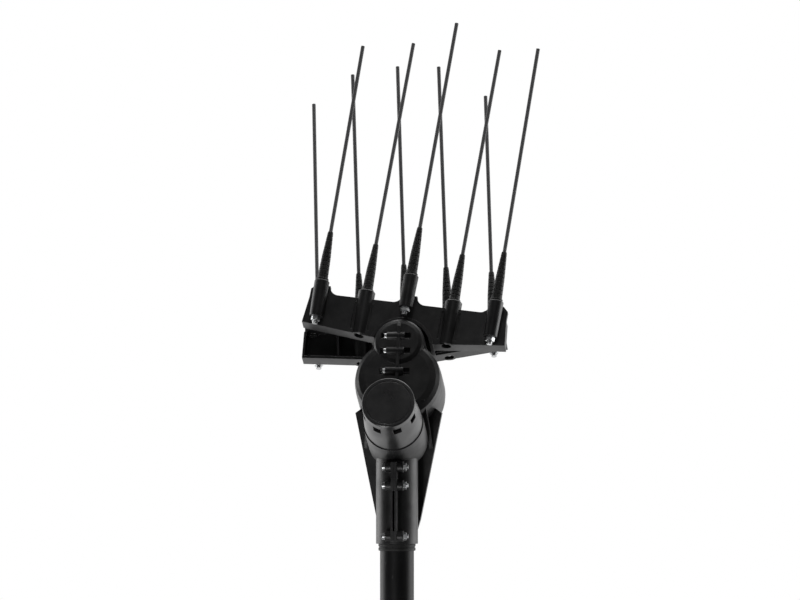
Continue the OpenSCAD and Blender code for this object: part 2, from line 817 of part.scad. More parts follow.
module pivot_shaft() {
  color("#a6a8ab") in_head() bar_y(pivot_r, pivot_front, pivot_back, pivot_up);
}
module pivot_washers() {
  color("#c9b27a") in_head() {
    ring_y(washer_r, pivot_r + run_fit, gap_front, near_hub_front - face_play, pivot_up);
    ring_y(washer_r, pivot_r + run_fit, far_hub_back + face_play, gap_back, pivot_up);
  }
}
module hub_washer() {
  color("#c9b27a") in_head()
    ring_y(washer_r, pivot_r + run_fit, near_hub_back, far_hub_front - face_play, pivot_up);
}

// comb: channel bar with a hollow back, arch over the nose, hub and fork
module comb_outline(inset) {
  difference() {
    polygon([[-comb_width / 2 + inset, comb_low_end + inset],
      [inset - top_half, comb_top - comb_corner], [comb_corner - top_half, comb_top - inset],
      [top_half - comb_corner, comb_top - inset], [top_half - inset, comb_top - comb_corner],
      [comb_width / 2 - inset, comb_low_end + inset],
      [arch_r, comb_low_in + inset], [-arch_r, comb_low_in + inset]]);
    circle(inset > 0 ? arch_r + arch_wall : arch_r);
  }
}
// hollow curve from the top edge up to a rod boss
module comb_brow(i) {
  translate([rod_x(i), comb_top]) difference() {
    translate([-boss_r - brow_r, -comb_wall]) square([2 * (boss_r + brow_r), comb_wall + brow_r]);
    for (side = [-1, 1]) translate([side * (boss_r + brow_r), brow_r]) circle(brow_r);
  }
}
// raised corner between an outer rod and the comb's end
module comb_end() {
  polygon([[rod_x(4), comb_top - comb_corner], [top_half, comb_top - comb_corner],
    [top_half, comb_top + brow_r - comb_corner], [top_half - comb_corner, comb_top + brow_r],
    [rod_x(4) - over, comb_top + brow_r], [rod_x(4) - over, comb_top], [rod_x(4), comb_top]]);
}
module rod_boss(i, r, drop) {
  at_rod(i) rotate_extrude() polygon([[0, -drop], [r - boss_taper, -drop], [r, -boss_bevel],
    [r - boss_bevel, 0], [0, 0]]);
}
module comb() {
  difference() {
    union() {
      difference() {
        slab(comb_front, comb_back) comb_outline(0);
        slab(comb_front + comb_wall, comb_back + over) comb_outline(comb_wall);
      }
      intersection() {
        slab(comb_front, comb_front + brow_deep) for (i = odd_rods) comb_brow(i);
        box([-rod_x(4), comb_front, 0], [rod_x(4), comb_back, 2 * comb_top]);
      }
      for (side = [0, 1]) mirror([side, 0, 0]) slab(comb_front, comb_front + brow_deep) comb_end();
      for (x = pocket_rib_x) for (side = [-1, 1]) intersection() {
        slab(comb_front, comb_back - over) comb_outline(0);
        box([side * x - pocket_rib / 2, comb_front, 0], [side * x + pocket_rib / 2, comb_back, comb_top]);
      }
      intersection() {
        slab(comb_front - rim_out, hub_back) difference() {
          circle(arch_r + arch_wall);
          circle(arch_r);
        }
        box([-comb_width, comb_front - rim_out, comb_low_in], [comb_width, hub_back, comb_width]);
      }
      slab(hub_front, hub_back) {
        intersection() {
          circle(arch_r + arch_wall);
          translate([-comb_width / 2, comb_low_in]) square(comb_width);
        }
        circle(hub_r);
        difference() {
          polygon([[-fork_half - tine, fork_low], [-fork_half - tine, comb_low_in + over],
            [fork_half + tine, comb_low_in + over], [fork_half + tine, fork_low]]);
          translate([-fork_half, fork_low - over]) square([2 * fork_half, fork_top - fork_low + over]);
        }
      }
      for (i = odd_rods) {
        rod_boss(i, boss_r, collar_up[i] - boss_low[i]);
        translate([rod_x(i) - web_half, 0, 0]) rotate([90, 0, 90]) linear_extrude(2 * web_half)
          polygon([[comb_front + over, boss_low[i] + web_drop],
            [rod_y_mid[i] + web_drop, boss_low[i] + web_drop],
            [rod_y_mid[i], collar_up[i] - web_drop], [comb_front + over, comb_top]]);
      }
      for (i = even_rods) rod_boss(i, tube_r, collar_up[i] - boss_low[i] + access_long - web_drop);
    }
    for (i = even_rods) for (x = [rod_x(i) - tube_half - groove_wide, rod_x(i) + tube_half])
      box([x, comb_front - over, groove_up],
        [x + groove_wide, comb_front + groove_deep, comb_top - groove_drop]);
    bar_y(pivot_r + run_fit, hub_front - over, hub_back + over);
    for (i = all_rods) at_rod(i) translate([0, 0, boss_low[i] - collar_up[i] - over])
      cylinder(r = stud_r + seat_fit, h = collar_up[i] - boss_low[i] + 2 * over);
    for (i = even_rods) at_rod(i) translate([0, 0, boss_low[i] - 2 * access_long - collar_up[i]])
      cylinder(r = access_r, h = 2 * access_long);
  }
}
module near_comb() {
  color("#1f1f1f") near_side() comb();
}
module far_comb() {
  color("#1f1f1f") far_side() comb();
}
module comb_rod(i, trim) {
  color("#363636") at_rod(i) translate([0, 0, boss_low[i] - collar_up[i] - stud_tail + rod_inset])
    cylinder(r = rod_r,
      h = collar_up[i] - boss_low[i] + stud_tail - rod_inset + boot_length + rod_free - trim);
}
module comb_boots() {
  color("#1a1a1a") for (i = all_rods) at_rod(i) rotate_extrude() polygon(concat(
    [[rod_r, 0], [boot_r + boot_step, 0], [boot_r + boot_step, boot_base], [boot_r, boot_base]],
    [for (k = [0:boot_rings - 1]) for (p = boot_ring_shares) [
      boot_r + (boot_top_r - boot_r) * (k + p[1]) / boot_rings - boot_bead * (1 - p[0]),
      boot_base + (boot_length - boot_base - boot_tip) * (k + p[1]) / boot_rings]],
    [[boot_top_r - boot_bead, boot_length - boot_tip], [boot_top_r - boot_bead, boot_length],
      [rod_r, boot_length]]));
}
module comb_studs() {
  color("#b9b9b9") for (i = all_rods) at_rod(i) translate([0, 0, boss_low[i] - collar_up[i] - stud_tail])
    difference() {
      cylinder(r = stud_r, h = collar_up[i] - boss_low[i] + stud_tail);
      translate([0, 0, rod_inset]) cylinder(r = rod_r, h = collar_up[i] - boss_low[i] + stud_tail);
    }
}
module comb_nuts() {
  color("#c4c4c4") for (i = all_rods) at_rod(i) translate([0, 0, boss_low[i] - collar_up[i] - rod_nut])
    linear_extrude(rod_nut) difference() {
      polygon(hexagon(rod_nut_r));
      circle(stud_r + seat_fit);
    }
}
module near_rod_1() {
  near_side() comb_rod(0, near_trim[0]);
}
module near_rod_2() {
  near_side() comb_rod(1, near_trim[1]);
}
module near_rod_3() {
  near_side() comb_rod(2, near_trim[2]);
}
module near_rod_4() {
  near_side() comb_rod(3, near_trim[3]);
}
module near_rod_5() {
  near_side() comb_rod(4, near_trim[4]);
}
module far_rod_1() {
  far_side() comb_rod(4, far_trim[0]);
}
module far_rod_2() {
  far_side() comb_rod(3, far_trim[1]);
}
module far_rod_3() {
  far_side() comb_rod(2, far_trim[2]);
}
module far_rod_4() {
  far_side() comb_rod(1, far_trim[3]);
}
module far_rod_5() {
  far_side() comb_rod(0, far_trim[4]);
}
module near_boots() {
  near_side() comb_boots();
}
module far_boots() {
  far_side() comb_boots();
}
module near_studs() {
  near_side() comb_studs();
}
module far_studs() {
  far_side() comb_studs();
}
module near_nuts() {
  near_side() comb_nuts();
}
module far_nuts() {
  far_side() comb_nuts();
}

// pole, its ring and sleeve, and the wiring in it
module pole_tube() {
  color("#1c1c1e") difference() {
    translate([0, 0, pole_low]) cylinder(r = pole_r, h = pole_in_head - pole_low);
    translate([0, 0, pole_low - over])
      cylinder(r = pole_r - pole_wall, h = pole_in_head - pole_low + 2 * over);
  }
}
module pole_ring() {
  color("#171717") rotate_extrude() polygon(concat([[pole_r, 0]], [[pole_r, -ring_height]],
    [for (p = ring_shares) [pole_r + ring_wall * p[0], -ring_height * p[1]]]));
}
module grip_sleeve() {
  color("#161616") translate([0, 0, -sleeve_drop - sleeve_length]) rotate_extrude() polygon(concat(
    [[pole_r, sleeve_length], [pole_r, 0]], [for (p = sleeve_shares)
      [pole_r + sleeve_wall * p[0], sleeve_length * p[1]]]));
}
module terminal_block() {
  color("#d9d4c6") difference() {
    box([-block_half, -block_deep, pole_in_head], [block_half, block_deep, pole_in_head + block_high]);
    in_head() for (x = [-wire_x, wire_x]) translate([x, 0, 0]) bar_y(wire_r, 0, wire_back, wire_up);
  }
}
module motor_wires() {
  color("#7a1d1a") in_head() for (x = [-wire_x, wire_x]) translate([x, 0, 0])
    bar_y(wire_r, plate_front, wire_back, wire_up);
}
module power_lead() {
  color("#1b1b1b") {
    translate([0, 0, switch_z + switch_tall / 2])
      cylinder(r = lead_r, h = pole_in_head - switch_z - switch_tall / 2);
    translate([0, 0, handle_low + inlet_deep])
      cylinder(r = lead_r, h = switch_z - switch_tall / 2 - handle_low - inlet_deep);
  }
}

// handle in two halves, with the trigger, its switch and the inlet
module handle_closed() {
  difference() {
    union() {
      difference() {
        translate([0, 0, handle_low]) rotate_extrude() polygon(concat([[0, handle_length]],
          [for (p = handle_shares) [p[0] * handle_r, (1 - p[1]) * handle_length]], [[0, 0]]));
        translate([0, 0, pole_low]) cylinder(r = pole_r + seat_fit, h = pole_in_handle + over);
        translate([0, 0, pole_low - handle_wall_stop - over])
          cylinder(r = pole_r - handle_wall_stop, h = handle_wall_stop + 2 * over);
        translate([0, 0, handle_low + handle_floor])
          cylinder(r = handle_bore_r, h = pole_low - handle_wall_stop - handle_low - handle_floor);
      }
      intersection() {
        translate([0, 0, handle_low + handle_floor - over])
          cylinder(r = handle_bore_r + over, h = pole_low - handle_low - handle_floor);
        union() {
          for (p = handle_screw_spots) bar_x(handle_boss_r, -handle_r, handle_r, p[0], p[1]);
          for (side = [0, 1]) mirror([side, 0, 0]) box([switch_half, switch_y + over, switch_z - rib_half],
            [handle_r, switch_y + switch_deep - over, switch_z + rib_half]);
        }
      }
    }
    for (p = handle_screw_spots) {
      bar_x(screw_sink_r, -2 * handle_r, -handle_screw_reach, p[0], p[1]);
      bar_x(screw_r + hole_fit, -handle_screw_reach - over, 0, p[0], p[1]);
      bar_x(screw_r + seat_fit, 0, handle_screw_reach + over, p[0], p[1]);
    }
    box([-trigger_width / 2 - trigger_side_play, -2 * handle_r, trigger_low - trigger_slot_low],
      [trigger_width / 2 + trigger_side_play, slot_back, pin_z + trigger_slot_top]);
    bar_x(pin_r, -pin_out, pin_out, pin_y, pin_z);
    translate([0, 0, handle_low - over]) cylinder(r = inlet_r, h = handle_floor + 2 * over);
  }
}
module handle_left() {
  color("#202020") intersection() {
    handle_closed();
    translate([-2 * handle_r, -2 * handle_r, handle_low - handle_r])
      cube([2 * handle_r, 4 * handle_r, handle_length + 2 * handle_r]);
  }
}
module handle_right() {
  color("#232323") intersection() {
    handle_closed();
    translate([0, -2 * handle_r, handle_low - handle_r])
      cube([2 * handle_r, 4 * handle_r, handle_length + 2 * handle_r]);
  }
}
module handle_screws() {
  color("#b8b8b8") for (p = handle_screw_spots) difference() {
    union() {
      bar_x(screw_head_r, -handle_screw_reach - screw_head, -handle_screw_reach, p[0], p[1]);
      bar_x(screw_r, -handle_screw_reach - over, handle_screw_reach, p[0], p[1]);
    }
    translate([-handle_screw_reach - screw_head - over, p[0], p[1]]) rotate([0, 90, 0])
      linear_extrude(screw_key + over) polygon(hexagon(screw_r));
  }
}
module trigger() {
  color("#2a2a2a") difference() {
    translate([-trigger_width / 2, 0, pin_z]) rotate([90, 0, 90]) linear_extrude(trigger_width)
      polygon(trigger_points);
    bar_x(pin_r + run_fit, -trigger_width, trigger_width, pin_y, pin_z);
    for (k = [0:trigger_grooves - 1]) bar_x(groove_r, -trigger_width, trigger_width,
      groove_y, pin_z - trigger_length + groove_low + k * groove_pitch);
  }
}
module trigger_pin() {
  color("#b0b0b0") bar_x(pin_r, -pin_out, pin_out, pin_y, pin_z);
}
// helical wire as one closed tube
module coil(r, wire, turns, rise) {
  count = turns * spring_steps;
  points = [for (n = [0:count]) for (k = [0:spring_sides - 1]) let(a = n * 360 / spring_steps,
    b = k * 360 / spring_sides, q = r + wire * cos(b))
    [q * cos(a), q * sin(a), wire + wire * sin(b) + rise * n / count]];
  sides = [for (n = [0:count - 1]) for (k = [0:spring_sides - 1]) let(m = (k + 1) % spring_sides)
    [n * spring_sides + k, (n + 1) * spring_sides + k, (n + 1) * spring_sides + m, n * spring_sides + m]];
  ends = [[for (k = [0:spring_sides - 1]) k],
    [for (k = [spring_sides - 1:-1:0]) count * spring_sides + k]];
  polyhedron(points, concat(sides, ends));
}
module trigger_spring() {
  color("#a8a8a8") translate([0, switch_y, spring_z]) rotate([90, 0, 0])
    coil(spring_r, spring_wire, spring_turns, spring_long - 2 * spring_wire);
}
module switch_body() {
  color("#3a3a3c") difference() {
    box([-switch_half, switch_y, switch_z - switch_tall / 2],
      [switch_half, switch_y + switch_deep, switch_z + switch_tall / 2]);
    translate([0, switch_y - over, button_z]) rotate([-90, 0, 0])
      cylinder(r = button_r + run_fit, h = button_bore + over);
  }
}
module switch_button() {
  color("#8c1f1c") translate([0, switch_y - button_out, button_z]) rotate([-90, 0, 0])
    cylinder(r = button_r, h = button_out + button_in);
}
module inlet_socket() {
  color("#1e1e20") translate([0, 0, handle_low]) difference() {
    union() {
      cylinder(r = inlet_r, h = inlet_deep);
      translate([0, 0, -inlet_flange]) cylinder(r = inlet_flange_r, h = inlet_flange);
      translate([0, 0, -inlet_flange - inlet_spigot]) cylinder(r = inlet_spigot_r, h = inlet_spigot);
    }
    translate([0, 0, -inlet_flange - inlet_spigot - over])
      cylinder(r = inlet_well_r, h = inlet_well + over);
    for (x = [-inlet_pin_x, inlet_pin_x]) translate([x, 0, -inlet_flange - inlet_spigot])
      cylinder(r = inlet_pin_r, h = inlet_flange + inlet_spigot + inlet_deep + over);
  }
}
module inlet_pins() {
  color("#c2a14e") for (x = [-inlet_pin_x, inlet_pin_x])
    translate([x, 0, handle_low - inlet_flange - inlet_spigot + inlet_well - inlet_pin_out])
      cylinder(r = inlet_pin_r, h = inlet_pin_out + inlet_flange + inlet_spigot - inlet_well + inlet_deep);
}

left_shell();
right_shell();
case_screws();
clamp_bolts();
clamp_nuts();
motor_can();
motor_end_cap();
motor_front_plate();
motor_magnets();
motor_bearings();
brush_ring();
carbon_brushes();
rotor_shaft();
armature_core();
armature_windings();
commutator();
pinion();
crank_shaft();
drive_gear();
crank_bearings();
near_roller();
far_roller();
pivot_shaft();
pivot_washers();
hub_washer();
near_comb();
far_comb();
near_rod_1();
near_rod_2();
near_rod_3();
near_rod_4();
near_rod_5();
far_rod_1();
far_rod_2();
far_rod_3();
far_rod_4();
far_rod_5();
near_boots();
far_boots();
near_studs();
far_studs();
near_nuts();
far_nuts();
pole_tube();
pole_ring();
grip_sleeve();
terminal_block();
motor_wires();
power_lead();
handle_left();
handle_right();
handle_screws();
trigger();
trigger_pin();
trigger_spring();
switch_body();
switch_button();
inlet_socket();
inlet_pins();
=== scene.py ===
import math

import bpy
from mathutils import Matrix, Vector


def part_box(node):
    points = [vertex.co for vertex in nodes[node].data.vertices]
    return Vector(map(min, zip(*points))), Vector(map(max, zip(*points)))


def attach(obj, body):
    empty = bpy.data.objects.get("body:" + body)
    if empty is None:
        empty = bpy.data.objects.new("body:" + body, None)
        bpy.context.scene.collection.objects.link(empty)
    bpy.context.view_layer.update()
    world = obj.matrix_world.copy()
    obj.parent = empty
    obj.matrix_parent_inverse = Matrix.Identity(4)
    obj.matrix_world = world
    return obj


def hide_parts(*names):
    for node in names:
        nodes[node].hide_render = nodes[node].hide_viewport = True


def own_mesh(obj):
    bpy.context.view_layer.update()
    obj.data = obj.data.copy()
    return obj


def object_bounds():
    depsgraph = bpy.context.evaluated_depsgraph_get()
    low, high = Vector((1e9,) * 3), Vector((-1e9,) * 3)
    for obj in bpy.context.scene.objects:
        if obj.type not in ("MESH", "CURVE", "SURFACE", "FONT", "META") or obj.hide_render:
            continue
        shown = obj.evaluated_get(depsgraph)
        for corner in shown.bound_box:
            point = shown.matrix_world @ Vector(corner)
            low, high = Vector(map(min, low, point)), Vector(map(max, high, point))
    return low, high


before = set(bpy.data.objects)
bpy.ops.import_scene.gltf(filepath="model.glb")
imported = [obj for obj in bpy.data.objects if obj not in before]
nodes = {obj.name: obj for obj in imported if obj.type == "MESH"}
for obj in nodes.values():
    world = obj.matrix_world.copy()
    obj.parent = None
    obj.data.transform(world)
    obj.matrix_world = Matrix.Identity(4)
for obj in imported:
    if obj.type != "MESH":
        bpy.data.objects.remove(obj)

MM = 0.001
cad_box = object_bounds()


# Camera: level with the head, a little to the right of the seam plane, far off with a long lens,
# so the picture is almost free of perspective. One pixel of the 800 x 600 frame is one millimetre.
PICTURE_W, PICTURE_H = 800, 600
PIXEL = 1.0 * MM
POLE_PX, SOCKET_PY = 397.0, 543.5
VIEW_TURN = math.radians(6.3)
CAMERA_FAR = 7.0
sight = Vector((-math.sin(VIEW_TURN), math.cos(VIEW_TURN), 0))
across = Vector((math.cos(VIEW_TURN), math.sin(VIEW_TURN), 0))
aim = across * (PICTURE_W / 2 - POLE_PX) * PIXEL + Vector((0, 0, (SOCKET_PY - PICTURE_H / 2) * PIXEL))
lens = bpy.data.cameras.new("photo_lens")
lens.sensor_width = 36
lens.lens = lens.sensor_width * CAMERA_FAR / (PICTURE_W * PIXEL)
lens.clip_end = 40
eye = bpy.data.objects.new("photo_camera", lens)
bpy.context.collection.objects.link(eye)
eye.location = aim - sight * CAMERA_FAR
eye.rotation_euler = sight.to_track_quat("-Z", "Y").to_euler()
bpy.context.scene.camera = eye
bpy.context.scene.view_settings.view_transform = "Standard"


def linear(hex_code):
    """sRGB hex to the linear colour that a socket takes."""
    parts = [int(hex_code[k:k + 2], 16) / 255 for k in (1, 3, 5)]
    return [c / 12.92 if c <= 0.04045 else ((c + 0.055) / 1.055) ** 2.4 for c in parts] + [1.0]


def add(tree, kind, inputs=None, **settings):
    """Add a node, set it up, and fill or link its inputs."""
    made = tree.nodes.new(kind)
    for name, value in settings.items():
        setattr(made, name, value)
    for name, value in (inputs or {}).items():
        if isinstance(value, bpy.types.NodeSocket):
            tree.links.new(value, made.inputs[name])
        else:
            made.inputs[name].default_value = value
    return made


# Studio: a pale floor below the handle, white to the camera. Reflections see it white below and
# behind the object, and dimmer towards the dark room on the camera's side.
FLOOR_DROP, FLOOR_R, FLOOR_GLOW = 0.03, 4.0, 0.9
FLOOR_DARK_Y, FLOOR_WHITE_Y = -0.3, 0.2
PAPER_FIBRE = 180.0
WHITE, PALE = "#ffffff", "#f4f4f2"
floor_z = cad_box[0][2] - FLOOR_DROP
bpy.ops.object.select_all(action="DESELECT")
bpy.ops.mesh.primitive_circle_add(vertices=96, radius=FLOOR_R, fill_type="NGON", location=(0, 0, floor_z))
floor = bpy.context.object
floor.name = "studio_floor"
bpy.ops.object.transform_apply(location=True)
paper = bpy.data.materials.new("matt_white_paper")
paper.use_nodes = True
tree = paper.node_tree
tree.nodes.clear()
rays = add(tree, "ShaderNodeLightPath")
fibre = add(tree, "ShaderNodeTexNoise", {"Scale": PAPER_FIBRE, "Detail": 3.0})
tone = add(tree, "ShaderNodeMixRGB", {"Fac": fibre.outputs["Fac"], "Color1": linear(PALE),
                                     "Color2": linear(WHITE)})
matt = add(tree, "ShaderNodeBsdfDiffuse", {"Color": tone.outputs[0]})
laid = add(tree, "ShaderNodeSeparateXYZ", {0: add(tree, "ShaderNodeTexCoord").outputs["Object"]})
lit = add(tree, "ShaderNodeMapRange", {"Value": laid.outputs["Y"], "From Min": FLOOR_DARK_Y,
                                       "From Max": FLOOR_WHITE_Y, "To Min": 0.0, "To Max": 1.0})
glare = add(tree, "ShaderNodeMix", {0: rays.outputs["Is Glossy Ray"], 2: 1.0, 3: lit.outputs[0]})
glow = add(tree, "ShaderNodeEmission", {"Color": linear(WHITE), "Strength": glare.outputs[0]})
shown = add(tree, "ShaderNodeMath", {0: rays.outputs["Is Camera Ray"], 1: FLOOR_GLOW},
            operation="MULTIPLY")
share = add(tree, "ShaderNodeMath", {0: shown.outputs[0], 1: rays.outputs["Is Glossy Ray"]},
            operation="MAXIMUM")
mixed = add(tree, "ShaderNodeMixShader", {0: share.outputs[0], 1: matt.outputs[0], 2: glow.outputs[0]})
add(tree, "ShaderNodeOutputMaterial", {"Surface": mixed.outputs[0]})
floor.data.materials.append(paper)

# The camera sees the surround as white. Reflections see a white sweep behind and below the object
# and a dark room on the camera's side, paler overhead. Everything else gets a low even light.
BACKDROP, ROOM_LEVEL, ROOM_OVERHEAD, EVEN = 1.0, 0.0, 0.08, 0.3
OVERHEAD_Z, SWEEP_DARK_Y, SWEEP_WHITE_Y = 0.75, -0.2, 0.3
world = bpy.data.worlds.new("white_studio")
bpy.context.scene.world = world
world.use_nodes = True
tree = world.node_tree
tree.nodes.clear()
rays = add(tree, "ShaderNodeLightPath")
course = add(tree, "ShaderNodeSeparateXYZ", {0: add(tree, "ShaderNodeTexCoord").outputs["Generated"]})
room = add(tree, "ShaderNodeMapRange", {"Value": course.outputs["Z"], "From Min": 0.0,
                                        "From Max": OVERHEAD_Z, "To Min": ROOM_LEVEL,
                                        "To Max": ROOM_OVERHEAD})
sweep = add(tree, "ShaderNodeMapRange", {"Value": course.outputs["Y"], "From Min": SWEEP_DARK_Y,
                                         "From Max": SWEEP_WHITE_Y, "To Min": room.outputs[0],
                                         "To Max": BACKDROP})
mirrored = add(tree, "ShaderNodeMath", {0: rays.outputs["Is Glossy Ray"],
                                        1: rays.outputs["Is Transmission Ray"]}, operation="MAXIMUM")
around = add(tree, "ShaderNodeMix", {0: mirrored.outputs[0], 2: EVEN, 3: sweep.outputs[0]})
level = add(tree, "ShaderNodeMix", {0: rays.outputs["Is Camera Ray"], 2: around.outputs[0], 3: BACKDROP})
sky = add(tree, "ShaderNodeBackground", {"Color": linear(WHITE), "Strength": level.outputs[0]})
add(tree, "ShaderNodeOutputWorld", {"Surface": sky.outputs[0]})

# Lamps: broad soft boxes behind, at both sides and above, which give the bright edges of the photo,
# and two small ones in front, low and overhead, which put glints on the bare steel.
LAMP_AIM = Vector((0, 0, 0.2))
for name, spot, size, power in (("low_front_softbox", (-0.3, -0.9, -0.5), 0.3, 4),
                                ("overhead_front_softbox", (0.1, -1.0, 1.4), 0.2, 0.5),
                                ("left_softbox", (-1.9, 0.7, 0.1), 1.4, 14),
                                ("right_softbox", (1.9, 0.8, 0.1), 1.4, 14),
                                ("top_softbox", (0.1, 0.9, 1.9), 1.4, 16)):
    light = bpy.data.lights.new(name, "AREA")
    light.size = size
    light.energy = power
    lamp = bpy.data.objects.new(name, light)
    bpy.context.collection.objects.link(lamp)
    lamp.location = spot
    lamp.rotation_euler = (LAMP_AIM - Vector(spot)).to_track_quat("-Z", "Y").to_euler()


def surface(name):
    """Start a material: its tree, its shader and object coordinates in metres."""
    made = bpy.data.materials.new(name)
    made.use_nodes = True
    tree = made.node_tree
    shader = tree.nodes["Principled BSDF"]
    place = add(tree, "ShaderNodeTexCoord").outputs["Object"]
    return made, tree, shader, place


def grain(tree, place, size_mm, detail=2.0, stretch=(1, 1, 1), turn=(0, 0, 0)):
    """Noise whose lumps are size_mm across, drawn out by stretch after a turn."""
    laid = add(tree, "ShaderNodeMapping", {"Vector": place, "Rotation": turn})
    drawn = add(tree, "ShaderNodeMapping", {"Vector": laid.outputs[0], "Scale": stretch})
    return add(tree, "ShaderNodeTexNoise", {"Vector": drawn.outputs[0], "Scale": 1 / (size_mm * MM),
                                            "Detail": detail}).outputs["Fac"]


def ramp(tree, value, low, high, out_low=0.0, out_high=1.0):
    """Value between low and high, spread to out_low and out_high."""
    return add(tree, "ShaderNodeMapRange", {"Value": value, "From Min": low, "From Max": high,
                                            "To Min": out_low, "To Max": out_high}).outputs[0]


def blended(tree, share, first, second):
    """Colour between two colours or sockets by share."""
    return add(tree, "ShaderNodeMixRGB", {"Fac": share, "Color1": first, "Color2": second}).outputs[0]


EDGE_START, EDGE_FULL = 0.995, 0.86


def rounded_edges(tree, radius_mm):
    """Normals softened over the edges, and a mask of where that happens."""
    soft = add(tree, "ShaderNodeBevel", {"Radius": radius_mm * MM}, samples=6).outputs[0]
    flat = add(tree, "ShaderNodeNewGeometry").outputs["Normal"]
    along = add(tree, "ShaderNodeVectorMath", {0: soft, 1: flat}, operation="DOT_PRODUCT").outputs["Value"]
    return soft, ramp(tree, along, EDGE_START, EDGE_FULL)


def dress(material, *names):
    """Give CAD nodes a material."""
    for name in names:
        piece = nodes[name]
        piece.data.materials.clear()
        piece.data.materials.append(material)


DUST, RUBBED = "#6f6d68", "#5c5c5c"
CLOUD_MM, SPECK_MM, FILM_MM = 28, 2.2, 13
FILM_DULL, FILM_BRIGHT = 0.4, 0.62


def moulded(name, dark, pale, grain_mm, rough, edge_mm=0.5, worn=0.35, dusty=0.06, ior=1.53):
    """Filled plastic from a spark-eroded mould: fine even grain, faint flow clouds, a sheen that
    handling left uneven, edges rubbed paler and glossier, a little dust."""
    made, tree, shader, place = surface(name)
    soft, edge = rounded_edges(tree, edge_mm)
    clouds = grain(tree, place, CLOUD_MM, 3.0)
    specks = grain(tree, place, SPECK_MM, 4.0)
    fine = grain(tree, place, grain_mm, 1.0)
    rub = add(tree, "ShaderNodeMath", {0: edge, 1: ramp(tree, specks, 0.35, 0.65)},
              operation="MULTIPLY").outputs[0]
    rub = add(tree, "ShaderNodeMath", {0: rub, 1: worn}, operation="MULTIPLY").outputs[0]
    body = blended(tree, ramp(tree, clouds, 0.35, 0.7), linear(dark), linear(pale))
    dust = add(tree, "ShaderNodeMath", {0: ramp(tree, specks, 0.56, 0.8), 1: dusty},
               operation="MULTIPLY").outputs[0]
    body = blended(tree, dust, body, linear(DUST))
    tree.links.new(blended(tree, rub, body, linear(RUBBED)), shader.inputs["Base Color"])
    shine = ramp(tree, clouds, 0.3, 0.7, rough - 0.05, rough + 0.07)
    shine = add(tree, "ShaderNodeMath", {0: shine, 1: ramp(tree, rub, 0, 1, 0, -0.16)}, operation="ADD")
    tree.links.new(shine.outputs[0], shader.inputs["Roughness"])
    film = ramp(tree, grain(tree, place, FILM_MM, 3.0), 0.3, 0.7, FILM_DULL, FILM_BRIGHT)
    tree.links.new(film, shader.inputs["Specular IOR Level"])
    bump = add(tree, "ShaderNodeBump", {"Height": fine, "Strength": 0.35, "Distance": 0.06 * MM,
                                        "Normal": soft})
    tree.links.new(bump.outputs[0], shader.inputs["Normal"])
    shader.inputs["IOR"].default_value = ior
    return made


def bare_metal(name, dark, pale, rough, streak=(1, 1, 1), streak_mm=0.5, edge_mm=0.3):
    """Metal with machining marks drawn out by streak, cloudy tone and uneven shine."""
    made, tree, shader, place = surface(name)
    soft = rounded_edges(tree, edge_mm)[0]
    marks = grain(tree, place, streak_mm, 3.0, streak)
    clouds = grain(tree, place, 9, 3.0)
    body = blended(tree, ramp(tree, clouds, 0.3, 0.7), linear(dark), linear(pale))
    tree.links.new(body, shader.inputs["Base Color"])
    shader.inputs["Metallic"].default_value = 1.0
    tree.links.new(ramp(tree, marks, 0.3, 0.7, rough - 0.07, rough + 0.1), shader.inputs["Roughness"])
    bump = add(tree, "ShaderNodeBump", {"Height": marks, "Strength": 0.25, "Distance": 0.03 * MM,
                                        "Normal": soft})
    tree.links.new(bump.outputs[0], shader.inputs["Normal"])
    return made


# Pole: a drawn aluminium tube, 34 mm outside, with a satin black anodised skin. It shows faint
# draw lines along its length and a few fine rubs from clamps and hands.
made, tree, shader, place = surface("black_anodised_aluminium")
lines = grain(tree, place, 0.7, 2.0, (1, 1, 0.02))
clouds = grain(tree, place, 35, 3.0)
rubs = grain(tree, place, 3.0, 5.0, (1, 1, 0.25))
body = blended(tree, ramp(tree, clouds, 0.3, 0.7), linear("#0c0c0d"), linear("#131314"))
scuffs = ramp(tree, rubs, 0.66, 0.8, 0.0, 0.4)
tree.links.new(blended(tree, scuffs, body, linear("#5e5e60")), shader.inputs["Base Color"])
shader.inputs["IOR"].default_value = 1.3
tree.links.new(ramp(tree, lines, 0.3, 0.7, 0.34, 0.46), shader.inputs["Roughness"])
bump = add(tree, "ShaderNodeBump", {"Height": lines, "Strength": 0.2, "Distance": 0.03 * MM})
tree.links.new(bump.outputs[0], shader.inputs["Normal"])
dress(made, "pole_tube")

# Ring under the head: a moulded rubber seal pushed over the pole against the socket's lower end.
# Matte rubber, faintly grey with handling, with fine pores and a soft cloudy sheen.


def rubber(name, dark, pale, rough, pore_mm, depth_mm):
    """Soft black compound: even colour, dull shine, pores of pore_mm."""
    made, tree, shader, place = surface(name)
    pores = grain(tree, place, pore_mm, 3.0)
    clouds = grain(tree, place, 16, 3.0)
    body = blended(tree, ramp(tree, clouds, 0.3, 0.72), linear(dark), linear(pale))
    tree.links.new(body, shader.inputs["Base Color"])
    tree.links.new(ramp(tree, pores, 0.3, 0.7, rough - 0.06, rough + 0.08), shader.inputs["Roughness"])
    bump = add(tree, "ShaderNodeBump", {"Height": pores, "Strength": 0.5, "Distance": depth_mm * MM})
    tree.links.new(bump.outputs[0], shader.inputs["Normal"])
    shader.inputs["IOR"].default_value = 1.5
    return made


dress(rubber("moulded_nitrile_rubber", "#111111", "#1c1c1c", 0.6, 0.8, 0.04), "pole_ring")

# Grip sleeve: a tube of soft rubber pulled over the pole, moulded in bands.
# Its skin is a dull charcoal with a fine matte texture.
dress(rubber("moulded_grip_rubber", "#0e0e0e", "#1b1b1a", 0.8, 0.9, 0.1), "grip_sleeve")

